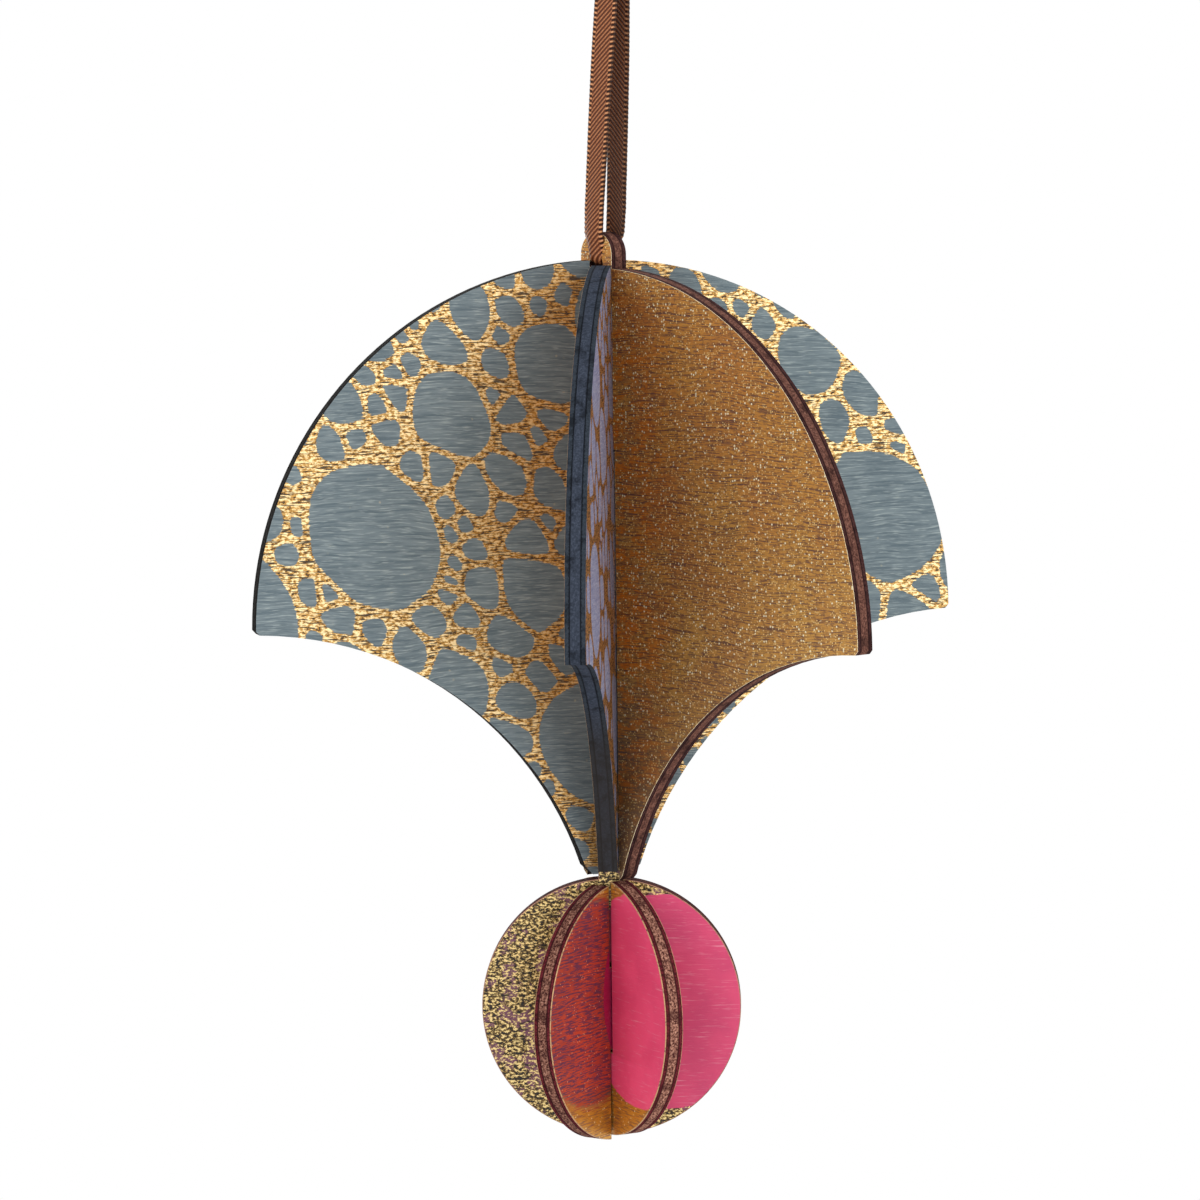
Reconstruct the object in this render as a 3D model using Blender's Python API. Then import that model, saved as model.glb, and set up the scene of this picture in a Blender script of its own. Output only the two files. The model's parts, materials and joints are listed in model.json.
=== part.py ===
"""Wooden hanging bauble, slotted together from thin plywood.

Three scalloped fan sheets cross on one upright axis. A ball of three crossing discs hangs under them
by a tab that sits in the fans' lower slots. A satin ribbon runs through the eyelet of one sheet, up to
a knot, and a hook holds the loop just under that knot.

Metres, +Z up. The origin is the point where a hook holds the ribbon loop.
"""
import math

import bpy
from mathutils import Vector

MM = 0.001

# Plywood and the play of its slots
PLY = 2.2 * MM
SLOT_PLAY = 0.15 * MM

# Fan sheets: round above, two hollow sides below, a narrow foot
FAN_RADIUS = 40.0 * MM
HOLLOW_RADIUS = 40.2 * MM
HOLLOW_CENTRE_ACROSS = 41.3 * MM
CORNER_EASE = 0.4 * MM
FOOT_DROP = 28.3 * MM
FOOT_CHAMFER = 0.9 * MM

# Bearings of the sheets and discs, counter-clockwise from +X seen from above
PEBBLE_BEARING = math.radians(196.0)
FRONT_BEARING = math.radians(265.1)
EYELET_BEARING = math.radians(312.1)
TAB_DISC_BEARING = math.radians(178.0)
DISC_STEP = math.radians(60.0)

# How far each fan sheet is pushed up its slots, against the front sheet
PEBBLE_SEAT = 0.5 * MM
EYELET_SEAT = -0.4 * MM

# Levels, above the fan centre, between the thirds where one sheet each is whole
UPPER_LEVEL = 19.5 * MM
LOWER_LEVEL = -1.0 * MM

# Eyelet on the third sheet: a round lobe, and a hole set low in it, above the crown's top
EYELET_RADIUS = 2.5 * MM
EYELET_RISE = 1.45 * MM
HOLE_RADIUS = 1.1 * MM
HOLE_RISE = 0.4 * MM

# Ball of three discs and its tab
BALL_RADIUS = 14.5 * MM
BALL_DROP = 42.9 * MM
BALL_THIRD = BALL_RADIUS / 3
TAB_WIDTH = 2.6 * MM
TAB_RISE = 6.3 * MM
TAB_HEADROOM = 0.8 * MM
SECOND_DISC_SEAT = -0.5 * MM

# Ribbon loop: the eyelet hangs this far under the hook, and its top leans to +X
RIBBON_DROP = 34.0 * MM
RIBBON_LEAN = 1.5 * MM
RIBBON_WIDTH = 3.0 * MM
RIBBON_THICKNESS = 0.3 * MM
RIBBON_PINCH = 0.5
RIBBON_TILT = math.radians(90.0)
KNOT_SIZE = Vector((4.4, 3.0, 3.2)) * MM
KNOT_RISE = 2.0 * MM
TAIL_LENGTH = 6.0 * MM
TAIL_SPLAY = math.radians(24.0)

# Facets
ARC_STEPS = 40
HOLLOW_STEPS = 24
HOLE_STEPS = 24
ROUTE_STEPS = 4

# Levels in the world
HOLE_LEVEL = -RIBBON_DROP
FAN_LEVEL = HOLE_LEVEL - FAN_RADIUS - HOLE_RISE - EYELET_SEAT
BALL_LEVEL = FAN_LEVEL - BALL_DROP
SWING_CENTRE = Vector((-RIBBON_LEAN, 0.0, HOLE_LEVEL))

# The ribbon's middle line from the eyelet hole to the knot: distance out from the eyelet sheet's
# middle plane, height above the hole's centre, and share of the full width
RIBBON_ROUTE = (
    (0.00 * MM, 0.48 * MM, RIBBON_PINCH),
    (0.75 * MM, 0.50 * MM, RIBBON_PINCH),
    (1.22 * MM, 0.75 * MM, RIBBON_PINCH),
    (1.38 * MM, 1.40 * MM, RIBBON_PINCH),
    (1.55 * MM, 2.20 * MM, 0.75),
    (1.80 * MM, 3.40 * MM, 1.00),
    (1.75 * MM, 6.00 * MM, 1.00),
    (1.58 * MM, 10.0 * MM, 1.00),
    (1.48 * MM, 16.0 * MM, 1.00),
    (1.45 * MM, 22.0 * MM, 1.00),
    (1.40 * MM, 27.0 * MM, 1.00),
    (1.25 * MM, 30.0 * MM, 1.00),
    (0.95 * MM, 32.4 * MM, 0.95),
    (0.60 * MM, 34.1 * MM, 0.90),
)


def clear_scene():
    """Remove every object of the open scene."""
    for item in list(bpy.data.objects):
        bpy.data.objects.remove(item, do_unlink=True)


def new_collection(name):
    """Return a new collection linked under the scene's own."""
    collection = bpy.data.collections.new(name)
    bpy.context.scene.collection.children.link(collection)
    return collection


def new_material(name, colour, roughness, metallic=0.0):
    """Return a Principled material of one colour."""
    material = bpy.data.materials.new(name)
    material.use_nodes = True
    shader = material.node_tree.nodes["Principled BSDF"]
    shader.inputs["Base Color"].default_value = (*colour, 1.0)
    shader.inputs["Roughness"].default_value = roughness
    shader.inputs["Metallic"].default_value = metallic
    return material


def arc(centre, radius, start, end, steps):
    """Return points along an arc, both ends included."""
    points = []
    for step in range(steps + 1):
        angle = start + (end - start) * step / steps
        points.append((centre[0] + radius * math.cos(angle), centre[1] + radius * math.sin(angle)))
    return points


def crossing(first, second):
    """Return the smaller angle between two upright sheets."""
    turn = abs(first - second) % math.pi
    return min(turn, math.pi - turn)


def slot_half(first, second):
    """Return half the slot that one sheet needs where another passes through it."""
    return PLY / 2 / math.tan(crossing(first, second) / 2) + SLOT_PLAY


def tab_slot_half(bearing):
    """Return half the slot that a fan sheet needs round the ball's tab."""
    turn = crossing(bearing, TAB_DISC_BEARING)
    return TAB_WIDTH / 2 * math.cos(turn) + PLY / 2 * math.sin(turn) + SLOT_PLAY


def level_on(radius, across):
    """Return the height of a circle above its centre at a distance from its upright axis."""
    return math.sqrt(radius ** 2 - across ** 2)


def mirrored(right_side):
    """Return a closed outline from the points of its right side, bottom to top."""
    left_side = [(-across, height) for across, height in reversed(right_side) if across > 0.0]
    return right_side + left_side


def foot_points(slot):
    """Return the chamfered foot of a fan sheet, from its slot outwards."""
    chamfer_level = FOOT_CHAMFER - FOOT_DROP
    outer = HOLLOW_CENTRE_ACROSS - level_on(HOLLOW_RADIUS, chamfer_level + HOLLOW_RADIUS)
    if slot > outer - FOOT_CHAMFER:
        return [(slot, chamfer_level - (outer - slot))]
    return [(slot, -FOOT_DROP), (outer - FOOT_CHAMFER, -FOOT_DROP)]


def fan_flank():
    """Return a fan sheet's right edge, from the foot's chamfer up to the outer corner."""
    centre = (HOLLOW_CENTRE_ACROSS, -HOLLOW_RADIUS)
    foot_sine = (FOOT_CHAMFER - FOOT_DROP - centre[1]) / HOLLOW_RADIUS
    corner_cosine = (FAN_RADIUS - CORNER_EASE - centre[0]) / HOLLOW_RADIUS
    return arc(centre, HOLLOW_RADIUS, math.pi - math.asin(foot_sine), math.acos(corner_cosine), HOLLOW_STEPS)


def fan_crown(across):
    """Return a fan sheet's round top, from the outer corner to a distance from the axis."""
    return arc((0.0, 0.0), FAN_RADIUS, CORNER_EASE / FAN_RADIUS, math.acos(across / FAN_RADIUS), ARC_STEPS)


def fan_outline(foot_slot, foot_slot_top, crown_end):
    """Return a fan sheet's outline.

    foot_slot is half the lower slot's width and foot_slot_top its upper end. crown_end holds the points
    that close the right side at the top, the first of them on the round crown.
    """
    right_side = [(foot_slot, foot_slot_top)]
    right_side += foot_points(foot_slot)
    right_side += fan_flank()
    right_side += fan_crown(crown_end[0][0])
    right_side += crown_end[1:]
    return mirrored(right_side)


def slotted_crown(slot, slot_bottom):
    """Return the top of a fan sheet with a slot cut down from it."""
    return [(slot, level_on(FAN_RADIUS, slot)), (slot, slot_bottom)]


def eyelet_crown():
    """Return the top of the fan sheet that carries the eyelet."""
    centre = (0.0, FAN_RADIUS + EYELET_RISE)
    lobe = arc(centre, EYELET_RADIUS, 0.0, math.pi / 2, HOLE_STEPS // 2)
    return [(EYELET_RADIUS, level_on(FAN_RADIUS, EYELET_RADIUS))] + lobe[:-1] + [(0.0, centre[1] + EYELET_RADIUS)]


def disc_outline(lower, upper, tab=False):
    """Return a disc's outline with slots up to lower and down to upper, either of which may be None."""
    slot = slot_half(0.0, DISC_STEP)
    right_side = []
    start = -math.pi / 2
    end = math.pi / 2
    if lower is not None:
        right_side.append((slot, lower))
        start = -math.acos(slot / BALL_RADIUS)
    if upper is not None:
        end = math.acos(slot / BALL_RADIUS)
    if tab:
        end = math.acos(TAB_WIDTH / 2 / BALL_RADIUS)
    rim = arc((0.0, 0.0), BALL_RADIUS, start, end, 2 * ARC_STEPS)
    if lower is None:
        rim[0] = (0.0, -BALL_RADIUS)
    right_side += rim
    if upper is not None:
        right_side.append((slot, upper))
    if tab:
        right_side.append((TAB_WIDTH / 2, BALL_RADIUS + TAB_RISE))
    return mirrored(right_side)


def add_outline(curve, points):
    """Add a closed straight-sided spline to a flat curve."""
    spline = curve.splines.new("POLY")
    spline.points.add(len(points) - 1)
    for point, (across, height) in zip(spline.points, points):
        point.co = (across, height, 0.0, 1.0)
    spline.use_cyclic_u = True


def add_sheet(name, outlines, bearing, level, material, carrier, collection):
    """Add an upright ply sheet cut to its outlines, turned to its bearing about the bauble's axis."""
    curve = bpy.data.curves.new(name, "CURVE")
    curve.dimensions = "2D"
    curve.fill_mode = "BOTH"
    curve.extrude = PLY / 2
    for points in outlines:
        add_outline(curve, points)
    curve.materials.append(material)
    sheet = bpy.data.objects.new(name, curve)
    sheet.parent = carrier
    sheet.location = (0.0, 0.0, level - HOLE_LEVEL)
    sheet.rotation_euler = (math.pi / 2, 0.0, bearing)
    collection.objects.link(sheet)
    return sheet


def add_fan(carrier, collection):
    """Add the three fan sheets, each whole in its own third of the axis."""
    to_eyelet = slot_half(PEBBLE_BEARING, EYELET_BEARING)
    to_front = slot_half(PEBBLE_BEARING, FRONT_BEARING)
    front_to_eyelet = slot_half(FRONT_BEARING, EYELET_BEARING)
    tab_slot_top = BALL_RADIUS + TAB_RISE + TAB_HEADROOM - BALL_DROP

    pebble = fan_outline(
        tab_slot_half(PEBBLE_BEARING),
        tab_slot_top - PEBBLE_SEAT,
        slotted_crown(max(to_eyelet, to_front), LOWER_LEVEL - PEBBLE_SEAT - SLOT_PLAY),
    )
    front = fan_outline(
        to_front,
        LOWER_LEVEL + SLOT_PLAY,
        slotted_crown(front_to_eyelet, UPPER_LEVEL - SLOT_PLAY),
    )
    eyelet = fan_outline(front_to_eyelet, UPPER_LEVEL - EYELET_SEAT + SLOT_PLAY, eyelet_crown())
    hole = arc((0.0, FAN_RADIUS + HOLE_RISE), HOLE_RADIUS, 0.0, 2 * math.pi, HOLE_STEPS)[:-1]

    slate = new_material("slate_blue_print", (0.16, 0.22, 0.24), 0.5)
    navy = new_material("lavender_blue_print", (0.20, 0.23, 0.34), 0.5)
    bronze = new_material("bronze_foil_print", (0.30, 0.17, 0.07), 0.38, 0.4)
    add_sheet("fan_pebble_sheet", [pebble], PEBBLE_BEARING, FAN_LEVEL + PEBBLE_SEAT, slate, carrier, collection)
    add_sheet("fan_front_sheet", [front], FRONT_BEARING, FAN_LEVEL, navy, carrier, collection)
    add_sheet("fan_eyelet_sheet", [eyelet, hole], EYELET_BEARING, FAN_LEVEL + EYELET_SEAT, bronze, carrier, collection)


def add_ball(carrier, collection):
    """Add the three discs of the ball, the first with the tab that holds it in the fan."""
    gold = new_material("gold_and_rose_print", (0.42, 0.22, 0.14), 0.42, 0.3)
    ember = new_material("ember_red_print", (0.34, 0.07, 0.04), 0.48)
    rose = new_material("rose_pink_print", (0.60, 0.06, 0.14), 0.5)
    tabbed = disc_outline(BALL_THIRD + SLOT_PLAY, None, tab=True)
    middle_low = -BALL_THIRD - SECOND_DISC_SEAT + SLOT_PLAY
    middle_high = BALL_THIRD - SECOND_DISC_SEAT - SLOT_PLAY
    middle = disc_outline(middle_low, middle_high)
    lowest = disc_outline(None, -BALL_THIRD - SLOT_PLAY)
    second_bearing = TAB_DISC_BEARING + DISC_STEP
    third_bearing = second_bearing + DISC_STEP
    add_sheet("ball_tab_disc", [tabbed], TAB_DISC_BEARING, BALL_LEVEL, gold, carrier, collection)
    add_sheet("ball_second_disc", [middle], second_bearing, BALL_LEVEL + SECOND_DISC_SEAT, ember, carrier, collection)
    add_sheet("ball_third_disc", [lowest], third_bearing, BALL_LEVEL, rose, carrier, collection)


def smooth_route(points):
    """Return points along a smooth curve through a hand-chosen route."""
    nodes = [Vector(point) for point in points]
    nodes = [2 * nodes[0] - nodes[1]] + nodes + [2 * nodes[-1] - nodes[-2]]
    smooth = []
    for before, start, end, after in zip(nodes, nodes[1:], nodes[2:], nodes[3:]):
        for step in range(ROUTE_STEPS):
            share = step / ROUTE_STEPS
            smooth.append(
                start
                + (end - before) * (share / 2)
                + (before * 2 - start * 5 + end * 4 - after) * (share ** 2 / 2)
                + (start * 3 - before - end * 3 + after) * (share ** 3 / 2)
            )
    smooth.append(nodes[-2])
    return smooth


def ribbon_points():
    """Return the ribbon's middle line and width shares, knot to knot through the eyelet."""
    out = Vector((math.sin(EYELET_BEARING), -math.cos(EYELET_BEARING), 0.0))
    rising = smooth_route(RIBBON_ROUTE)
    points = []
    for side, stretch in ((-1, reversed(rising)), (1, rising[1:])):
        for across, height, share in stretch:
            lean = Vector((RIBBON_LEAN * height / RIBBON_DROP, 0.0, 0.0))
            points.append((SWING_CENTRE + out * (side * across) + lean + Vector((0.0, 0.0, height)), share))
    return points


def add_ribbon(collection):
    """Add the ribbon loop as a thin flat band through the eyelet."""
    curve = bpy.data.curves.new("ribbon_loop", "CURVE")
    curve.dimensions = "3D"
    curve.fill_mode = "FULL"
    curve.twist_mode = "MINIMUM"
    curve.bevel_depth = RIBBON_THICKNESS / 2
    curve.bevel_resolution = 1
    curve.extrude = (RIBBON_WIDTH - RIBBON_THICKNESS) / 2
    curve.use_fill_caps = True
    points = ribbon_points()
    spline = curve.splines.new("POLY")
    spline.points.add(len(points) - 1)
    for point, (place, share) in zip(spline.points, points):
        point.co = (*place, 1.0)
        point.radius = share
        point.tilt = RIBBON_TILT
    curve.materials.append(new_material("brown_satin", (0.16, 0.06, 0.03), 0.45))
    ribbon = bpy.data.objects.new("ribbon_loop", curve)
    collection.objects.link(ribbon)
    return ribbon


def add_tail(name, splay, cutters):
    """Add one cut end of the ribbon as a thin strip that leaves the knot upwards."""
    bpy.ops.mesh.primitive_cube_add(size=1.0)
    tail = bpy.context.object
    tail.name = name
    tail.scale = (RIBBON_WIDTH, 2 * RIBBON_THICKNESS, TAIL_LENGTH)
    reach = Vector((math.sin(splay), 0.0, math.cos(splay))) * TAIL_LENGTH / 2
    tail.location = Vector((0.0, 0.0, KNOT_RISE)) + reach
    tail.rotation_euler = (0.0, splay, 0.0)
    tail.hide_render = True
    tail.display_type = "WIRE"
    move_to(tail, cutters)
    return tail


def move_to(item, collection):
    """Leave an object in one collection only."""
    for owner in list(item.users_collection):
        owner.objects.unlink(item)
    collection.objects.link(item)


def add_knot(collection, cutters):
    """Add the overhand knot that closes the loop, with its two cut ends."""
    bpy.ops.mesh.primitive_uv_sphere_add(segments=20, ring_count=12, radius=0.5, location=(0.0, 0.0, KNOT_RISE))
    knot = bpy.context.object
    knot.name = "ribbon_knot"
    knot.scale = KNOT_SIZE
    bpy.ops.object.transform_apply(location=False, rotation=False, scale=True)
    knot.data.materials.append(new_material("brown_satin_knot", (0.14, 0.05, 0.03), 0.5))
    for name, splay in (("tail_left", -TAIL_SPLAY), ("tail_right", TAIL_SPLAY)):
        union = knot.modifiers.new(name, "BOOLEAN")
        union.operation = "UNION"
        union.object = add_tail(name, splay, cutters)
    move_to(knot, collection)
    return knot


def main():
    """Build the bauble hanging from its ribbon."""
    clear_scene()
    bauble = new_collection("wooden_bauble")
    cutters = new_collection("shaping_solids")
    carrier = bpy.data.objects.new("bauble_swing", None)
    carrier.location = SWING_CENTRE
    bauble.objects.link(carrier)
    add_fan(carrier, bauble)
    add_ball(carrier, bauble)
    add_ribbon(bauble)
    add_knot(bauble, cutters)


main()
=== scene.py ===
"""Dresses the slot-together hanging bauble.

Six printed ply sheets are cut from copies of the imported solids, a satin ribbon runs through the eyelet
up to its knot, and a pale studio stands round them. Places are in metres, in the frame of the solids.
Finishes, flat outlines, the ribbon's route and the knot's shape are in millimetres.
"""
import json
import logging
import math
import random
from collections.abc import Callable, Sequence
from dataclasses import dataclass, field
from enum import Enum
from typing import Union

import bmesh
import bpy
from mathutils import Matrix, Vector
from mathutils.geometry import delaunay_2d_cdt

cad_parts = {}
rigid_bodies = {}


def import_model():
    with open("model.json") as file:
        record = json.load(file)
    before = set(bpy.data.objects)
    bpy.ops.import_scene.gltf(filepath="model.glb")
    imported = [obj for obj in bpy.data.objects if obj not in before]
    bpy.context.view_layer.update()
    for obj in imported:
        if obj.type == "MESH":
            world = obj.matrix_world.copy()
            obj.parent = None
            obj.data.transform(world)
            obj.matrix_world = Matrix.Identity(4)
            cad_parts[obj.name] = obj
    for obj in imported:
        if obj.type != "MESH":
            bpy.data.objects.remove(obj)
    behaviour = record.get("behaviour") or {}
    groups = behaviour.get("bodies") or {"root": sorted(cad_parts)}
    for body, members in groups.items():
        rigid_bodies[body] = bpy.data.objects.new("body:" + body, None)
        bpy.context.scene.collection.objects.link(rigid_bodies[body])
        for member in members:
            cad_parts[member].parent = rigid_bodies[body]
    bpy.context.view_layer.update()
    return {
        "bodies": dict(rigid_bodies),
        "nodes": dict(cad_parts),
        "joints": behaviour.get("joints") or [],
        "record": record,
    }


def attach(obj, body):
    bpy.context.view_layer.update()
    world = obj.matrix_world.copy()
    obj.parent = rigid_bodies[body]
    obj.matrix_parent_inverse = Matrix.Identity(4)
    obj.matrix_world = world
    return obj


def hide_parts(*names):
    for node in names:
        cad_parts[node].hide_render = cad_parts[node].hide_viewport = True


LOG = logging.getLogger("bauble")
MM = 0.001
AXIS_ACROSS = -1.5 * MM
FAN_LEVEL = -74.0 * MM
BALL_LEVEL = -116.9 * MM
EYELET_BEARING = math.radians(312.1)
WELD = 1e-6
FLAT_ANGLE = math.radians(0.4)
SMOOTH_ANGLE = math.radians(20.0)
FLAT_LEAN = 0.9
WHITE = (1.0, 1.0, 1.0, 1.0)
POINTS_PER_SPAN = 24

Socket = bpy.types.NodeSocket
Value = Union[Socket, float]
Colour = Union[Socket, str]
Station = tuple[Vector, Vector, Vector, float]


class Side(Enum):
    """The kinds of surface on a sawn ply sheet, in the order of their material slots."""

    FRONT = 0
    BACK = 1
    EDGE = 2
    RIM = 3


class Part(Enum):
    """What can be picked on a mesh, with the name of its list."""

    EDGE = "edges"
    FACE = "faces"


class Ground(Enum):
    """What lies round the colour circle of a ball disc."""

    GLITTER = "coarse gold glitter"
    OCHRE = "ochre foil"


def tone(code: str) -> tuple[float, float, float, float]:
    """Turns a screen colour into the linear colour that shaders take.

    Args:
        code: six hexadecimal digits, red first.

    Returns:
        The colour with full alpha.
    """
    shares = [int(code[i:i + 2], 16) / 255 for i in (0, 2, 4)]
    linear = [s / 12.92 if s <= 0.04045 else ((s + 0.055) / 1.055) ** 2.4 for s in shares]
    return (linear[0], linear[1], linear[2], 1.0)


def along(bearing: float) -> Vector:
    """The level direction at a bearing, counter-clockwise from +X seen from above."""
    return Vector((math.cos(bearing), math.sin(bearing), 0.0))


def facing(bearing: float) -> Vector:
    """The outward direction of a sheet's front face."""
    return Vector((math.sin(bearing), -math.cos(bearing), 0.0))


def take_up(piece: bpy.types.Object) -> None:
    """Makes a piece the only selected object and the active one.

    Args:
        piece: the piece.
    """
    bpy.ops.object.select_all(action="DESELECT")
    piece.select_set(True)
    bpy.context.view_layer.objects.active = piece


def new_piece(name: str, mesh: bpy.types.Mesh) -> bpy.types.Object:
    """Puts a mesh into the scene as an object at the origin.

    Args:
        name: the piece's name.
        mesh: its mesh, with its place in the vertices.

    Returns:
        The new object.
    """
    piece = bpy.data.objects.new(name, mesh)
    bpy.context.scene.collection.objects.link(piece)
    return piece


def enrol(piece: bpy.types.Object, body: str, node: str, slot: str) -> None:
    """Args:
        piece: the piece.
        body: what it rides on.
        node: the solid it stands for.
        slot: the name of a material slot; not used.
    """
    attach(piece, body)
    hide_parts(node)


@dataclass(frozen=True)
class Spot:
    """A place on a sheet's own plane: across it, through the ply, up it, and flat on it."""

    across: Socket
    depth: Socket
    height: Socket
    flat: Socket


class NodeBoard:
    """A node tree under construction, with short calls for the nodes that the finishes use."""

    def __init__(self, owner: Union[bpy.types.Material, bpy.types.World]) -> None:
        """Empties the owner's node tree.

        Args:
            owner: what the nodes are for.
        """
        self.owner = owner
        owner.use_nodes = True
        self.tree = owner.node_tree
        self.tree.nodes.clear()

    def node(self, kind: str, inputs: Union[dict, None] = None, **settings: str) -> bpy.types.Node:
        """Adds a node.

        Args:
            kind: Blender's name for it, less its first words.
            inputs: what goes into its sockets, by name or number.
            settings: its other choices.

        Returns:
            The node.
        """
        made = self.tree.nodes.new(f"ShaderNode{kind}")
        for key, choice in settings.items():
            setattr(made, key, choice)
        for key, value in (inputs or {}).items():
            self.feed(made.inputs[key], value)
        return made

    def feed(self, socket: Socket, value: Union[Value, Colour, tuple]) -> None:
        """Links a socket to another one, or gives it a constant.

        Args:
            socket: the input.
            value: another socket, a number, a vector or a colour code.
        """
        if isinstance(value, Socket):
            self.tree.links.new(value, socket)
        else:
            socket.default_value = tone(value) if isinstance(value, str) else value

    def math(self, operation: str, *values: Value) -> Socket:
        """One Math node on up to three values."""
        return self.node("Math", dict(enumerate(values)), operation=operation).outputs[0]

    def times(self, first: Value, *others: Value) -> Value:
        """The product of values.

        Args:
            first: the first of them.
            others: the rest.

        Returns:
            The result's socket.
        """
        for other in others:
            first = self.math("MULTIPLY", first, other)
        return first

    def between(self, share: Value, low: Value, high: Value) -> Socket:
        """A number that goes from low to high with a share."""
        return self.math("MULTIPLY_ADD", self.math("SUBTRACT", high, low), share, low)

    def fray(self, value: Value, noise: Value, by: float) -> Socket:
        """Moves a value up and down by noise round a half."""
        return self.math("MULTIPLY_ADD", self.math("SUBTRACT", noise, 0.5), by, value)

    def wave(self, angle: Value) -> Socket:
        """A sine between 0 and 1."""
        return self.math("MULTIPLY_ADD", self.math("SINE", angle), 0.5, 0.5)

    def blend(self, share: Value, low: Colour, high: Colour) -> Socket:
        """Mixes two colours by a share from 0 to 1."""
        return self.node("Mix", {0: share, 6: low, 7: high}, data_type="RGBA").outputs[2]

    def coats(self, colour: Colour, *others: tuple[Value, Colour]) -> Colour:
        """Lays colours over one another.

        Args:
            colour: the lowest.
            others: for each coat, how much of it covers what is below, and its colour.

        Returns:
            The result's socket.
        """
        for share, other in others:
            colour = self.blend(share, colour, other)
        return colour

    def either(self, share: Value, low: Socket, high: Socket) -> Socket:
        """Mixes two shaders by a share from 0 to 1."""
        return self.node("MixShader", {0: share, 1: low, 2: high}).outputs[0]

    def seen(self) -> Socket:
        """1 for what the camera sees, itself or in a shiny surface."""
        path = self.node("LightPath").outputs
        return self.math("MAXIMUM", path["Is Camera Ray"], path["Is Glossy Ray"])

    def step(self, value: Value, low: float, high: float, first: float = 0.0, last: float = 1.0) -> Socket:
        """Eases a value from first to last as it goes from low to high.

        Args:
            value: the socket that is read.
            low: where the ramp starts.
            high: where it ends; below low, the ramp falls.
            first: result at the start.
            last: result at the end.

        Returns:
            The result's socket.
        """
        if high < low:
            low, high, first, last = high, low, last, first
        inputs = dict(enumerate((value, low, high, first, last)))
        return self.node("MapRange", inputs, interpolation_type="SMOOTHSTEP").outputs[0]

    def attribute(self, name: str) -> Socket:
        """A number that the mesh keeps at its points."""
        return self.node("Attribute", attribute_name=name).outputs["Fac"]

    def point(self, *values: Value) -> Socket:
        """Joins two or three values into a vector."""
        return self.node("CombineXYZ", dict(enumerate(values))).outputs[0]

    def noise(self, vector: Socket, scale: float, detail: float = 3.0, rough: float = 0.5) -> Socket:
        """A noise texture.

        Args:
            vector: where it is read.
            scale: its frequency.
            detail: octaves.
            rough: how strong the finer octaves are.

        Returns:
            The socket of its value.
        """
        inputs = {"Vector": vector, "Scale": scale, "Detail": detail, "Roughness": rough}
        return self.node("TexNoise", inputs).outputs[0]

    def grain(self, spot: Spot, length: float, pitch: float, detail: float = 4.0,
              sway: float = 2.4) -> Socket:
        """Fine streaks that run across a sheet, from 0 to 1.

        Args:
            spot: place on the sheet.
            length: how long a streak is.
            pitch: how far apart streaks are.
            detail: octaves.
            sway: how far the streaks wander up and down.

        Returns:
            The streaks' socket.
        """
        lifted = self.math("MULTIPLY_ADD", self.noise(spot.flat, 0.06, 2.0), sway, spot.height)
        stretched = self.point(self.math("DIVIDE", spot.across, length), self.math("DIVIDE", lifted, pitch))
        return self.noise(stretched, 1.0, detail, 0.6)

    def sparks(self, spot: Spot, size: float, share: float) -> Socket:
        """Scattered bright flakes.

        Args:
            spot: place on the sheet.
            size: the width of the cells that may hold a flake.
            share: the share of the cells that do.

        Returns:
            A socket that is 1 on a flake.
        """
        cells = self.node("TexVoronoi", {"Vector": spot.flat, "Scale": 1.0 / size, "Randomness": 0.92},
                          voronoi_dimensions="2D", feature="F1").outputs
        dye = self.node("SeparateColor", {0: cells["Color"]}).outputs[0]
        chosen = self.step(dye, 1.0 - share, 1.0 - share + 0.02)
        return self.times(self.step(cells["Distance"], 0.42, 0.22), chosen)


class Paint(NodeBoard):
    """A material under construction, with one Principled shader."""

    def __init__(self, name: str) -> None:
        """Starts the material.

        Args:
            name: its name.
        """
        super().__init__(bpy.data.materials.new(name))
        self.shader = self.node("BsdfPrincipled")
        self.end = self.node("OutputMaterial", {"Surface": self.shader.outputs["BSDF"]})

    def surface(self, **values: Union[Value, Colour, tuple]) -> None:
        """Sets the shader's inputs.

        Args:
            values: what goes into each, named with underscores for spaces.
        """
        for key, value in values.items():
            self.feed(self.shader.inputs[key.replace("_", " ")], value)

    def relief(self, height: Socket, depth: float, strength: float) -> None:
        """Bumps the surface.

        Args:
            height: the bump's height, from 0 to 1.
            depth: how deep that is, in metres.
            strength: how much of it shows.
        """
        bump = self.node("Bump", {"Strength": strength, "Distance": depth, "Height": height})
        self.feed(self.shader.inputs["Normal"], bump.outputs[0])

    def spot(self, bearing: float, level: float) -> Spot:
        """Finds the place on a sheet's own plane.

        Args:
            bearing: the sheet's bearing.
            level: the height of its centre, in metres.

        Returns:
            Its sockets.
        """
        turn = self.node("Mapping", {
            "Vector": self.node("TexCoord").outputs["Object"],
            "Location": (AXIS_ACROSS, 0.0, level),
            "Rotation": (0.0, 0.0, bearing),
            "Scale": (MM, MM, MM),
        }, vector_type="TEXTURE")
        across, depth, height = self.node("SeparateXYZ", {0: turn.outputs[0]}).outputs
        return Spot(across, depth, height, self.point(across, height))

    def ribbon_place(self) -> tuple[Socket, Socket]:
        """Finds the place on a ribbon from its weave map.

        Returns:
            Sockets for the distance across it and along it.
        """
        source = self.node("UVMap", uv_map="weave")
        across, run, _ = self.node("SeparateXYZ", {0: source.outputs[0]}).outputs
        return across, run


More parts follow.
